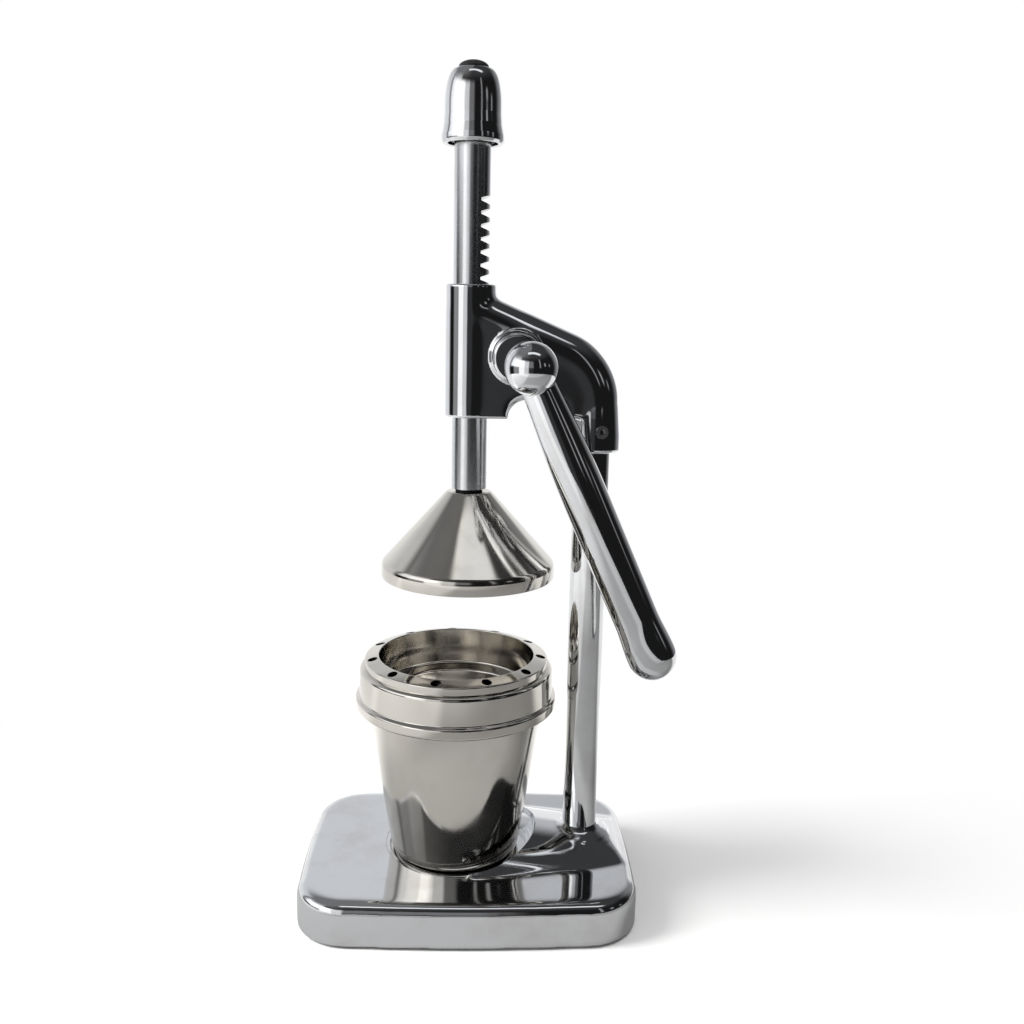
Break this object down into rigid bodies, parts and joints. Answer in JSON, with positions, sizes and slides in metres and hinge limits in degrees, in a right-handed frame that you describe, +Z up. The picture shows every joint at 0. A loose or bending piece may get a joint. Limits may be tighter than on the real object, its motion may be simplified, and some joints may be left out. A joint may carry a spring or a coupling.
{
  "type": "lever citrus press",
  "caption": "Chromed lever citrus press: rack-and-pinion head on a column, a pressing cone over a steel cup with a strainer bowl.",
  "frame": {"origin": "middle of the bottom of the bounding box, on the table under the rubber feet", "axes": "+Z up along the press rod, +X along the press line from the cup towards the column, +Y to the rear, away from the lever"},
  "size_m": [0.1936, 0.13, 0.432],
  "materials": {
    "chrome_cast": "polished chrome on the castings, lever and cap",
    "chrome_bar": "bright chrome on turned bar",
    "stainless": "satin stainless sheet",
    "zinc_steel": "zinc-plated steel",
    "bronze": "turned bearing bronze",
    "dark_plastic": "dark smooth plastic",
    "rubber": "matt black rubber"
  },
  "bodies": {
    "frame": {"base_casting": "chrome_cast", "base_plate": "zinc_steel", "rubber_feet": "rubber", "foot_screws": "zinc_steel", "column": "chrome_bar", "column_bolt": "zinc_steel", "column_washer": "zinc_steel", "head_casting": "chrome_cast", "clamp_screw": "zinc_steel", "front_bush": "chrome_bar", "rear_bush": "bronze"},
    "press": {"rack_rod": "chrome_bar", "top_cap": "chrome_cast", "cap_screw": "zinc_steel", "cap_plug": "dark_plastic", "press_cone": "stainless", "cone_washer": "rubber", "cone_screw": "zinc_steel"},
    "lever": {"pinion": "zinc_steel", "pinion_shaft": "zinc_steel", "shaft_key": "zinc_steel", "shaft_washer": "zinc_steel", "shaft_nut": "chrome_bar", "lever_hub": "chrome_cast", "hub_set_screw": "zinc_steel", "lever_handle": "chrome_cast"},
    "cup_set": {"cup": "stainless", "strainer_collar": "stainless", "strainer_bowl": "stainless"}
  },
  "joints": [
    {"name": "lever_swing", "type": "hinge", "parent": "frame", "child": "lever", "pos_m": [0.01334, 0.003, 0.29174], "axis": [0, -1, 0], "range_deg": [-8, 153.6]},
    {"name": "press_slide", "type": "slide", "parent": "frame", "child": "press", "axis": [0, 0, -1], "range_m": [-0.00224, 0.0429]},
    {"name": "cup_slide", "type": "slide", "parent": "frame", "child": "cup_set", "axis": [-0.9563, 0, 0.2924], "range_m": [0, 0.135]}
  ],
  "couplings": [
    {"joint": "press_slide", "follows": "lever_swing", "m_per_rad": 0.016}
  ]
}
